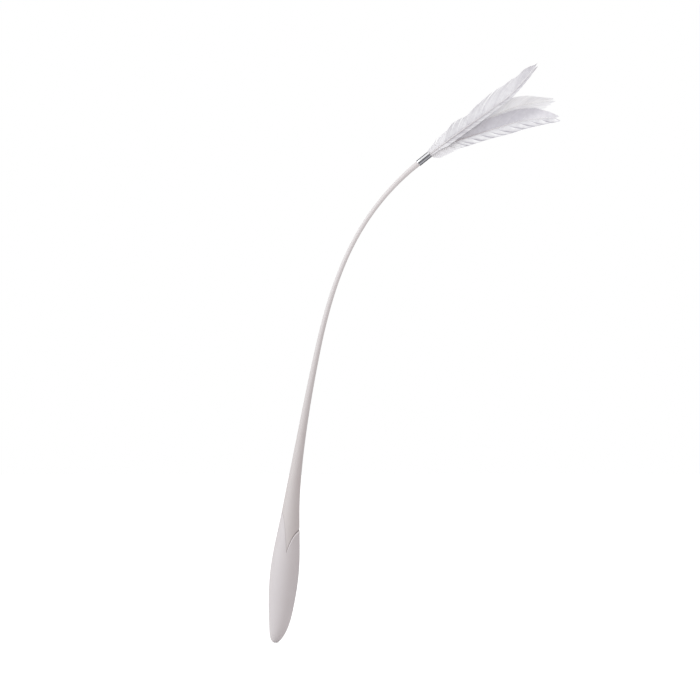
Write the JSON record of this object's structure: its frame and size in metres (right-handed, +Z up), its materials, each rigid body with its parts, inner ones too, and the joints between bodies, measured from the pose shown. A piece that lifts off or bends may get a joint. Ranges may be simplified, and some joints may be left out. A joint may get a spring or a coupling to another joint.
{
  "type": "cat teaser wand",
  "caption": "Springy cat teaser wand: soft teardrop grip with a V seam, one long arching tapered rod, a metal ferrule and a spray of pale feathers.",
  "frame": {"origin": "middle of the grip where it is widest, where a hand holds the wand", "axes": "+Z up as the wand is held, +X the way that the rod arches, the arch lies in the XZ plane"},
  "size_m": [0.2756, 0.0274, 0.5494],
  "materials": {
    "soft_bud": "soft-touch matt",
    "soft_stem": "soft-touch matt",
    "core_plastic": "moulded",
    "anchor_brass": "turned",
    "spring_wire": "drawn wire",
    "ferrule_metal": "polished",
    "thread": "wound thread",
    "glue": "set glue",
    "feather_shaft": "smooth horn",
    "feather_vane_grey": "feather barbs",
    "feather_vane_white": "feather barbs",
    "feather_down": "loose down"
  },
  "bodies": {
    "handle": {"grip_bud": "soft_bud", "grip_core": "core_plastic", "wire_anchor": "anchor_brass", "core_wire": "spring_wire", "stem": "soft_stem"},
    "tip": {"ferrule": "ferrule_metal", "quill_binding": "thread", "glue_plug": "glue"},
    "upper_feather": {"upper_shaft": "feather_shaft", "upper_left_vane": "feather_vane_white", "upper_right_vane": "feather_vane_white", "upper_down": "feather_down"},
    "middle_feather": {"middle_shaft": "feather_shaft", "middle_left_vane": "feather_vane_white", "middle_right_vane": "feather_vane_white", "middle_down": "feather_down"},
    "lower_feather": {"lower_shaft": "feather_shaft", "lower_left_vane": "feather_vane_grey", "lower_right_vane": "feather_vane_white", "lower_down": "feather_down"}
  },
  "joints": [
    {"name": "rod_flex", "type": "hinge", "parent": "handle", "child": "tip", "pos_m": [0.04969, 0, 0.27904], "axis": [0, 1, 0], "range_deg": [-40, 40], "stiffness_Nm_per_rad": 0.19, "deforming": ["stem", "core_wire"]},
    {"name": "upper_sway", "type": "hinge", "parent": "tip", "child": "upper_feather", "pos_m": [0.13815, 0, 0.39963], "axis": [0, 1, 0], "range_deg": [-12, 12], "stiffness_Nm_per_rad": 0.01, "deforming": ["upper_shaft"]},
    {"name": "middle_sway", "type": "hinge", "parent": "tip", "child": "middle_feather", "pos_m": [0.13815, 0, 0.39963], "axis": [0, 1, 0], "range_deg": [-12, 12], "stiffness_Nm_per_rad": 0.01, "deforming": ["middle_shaft"]},
    {"name": "lower_sway", "type": "hinge", "parent": "tip", "child": "lower_feather", "pos_m": [0.13815, 0, 0.39963], "axis": [0, 1, 0], "range_deg": [-12, 12], "stiffness_Nm_per_rad": 0.01, "deforming": ["lower_shaft"]}
  ]
}
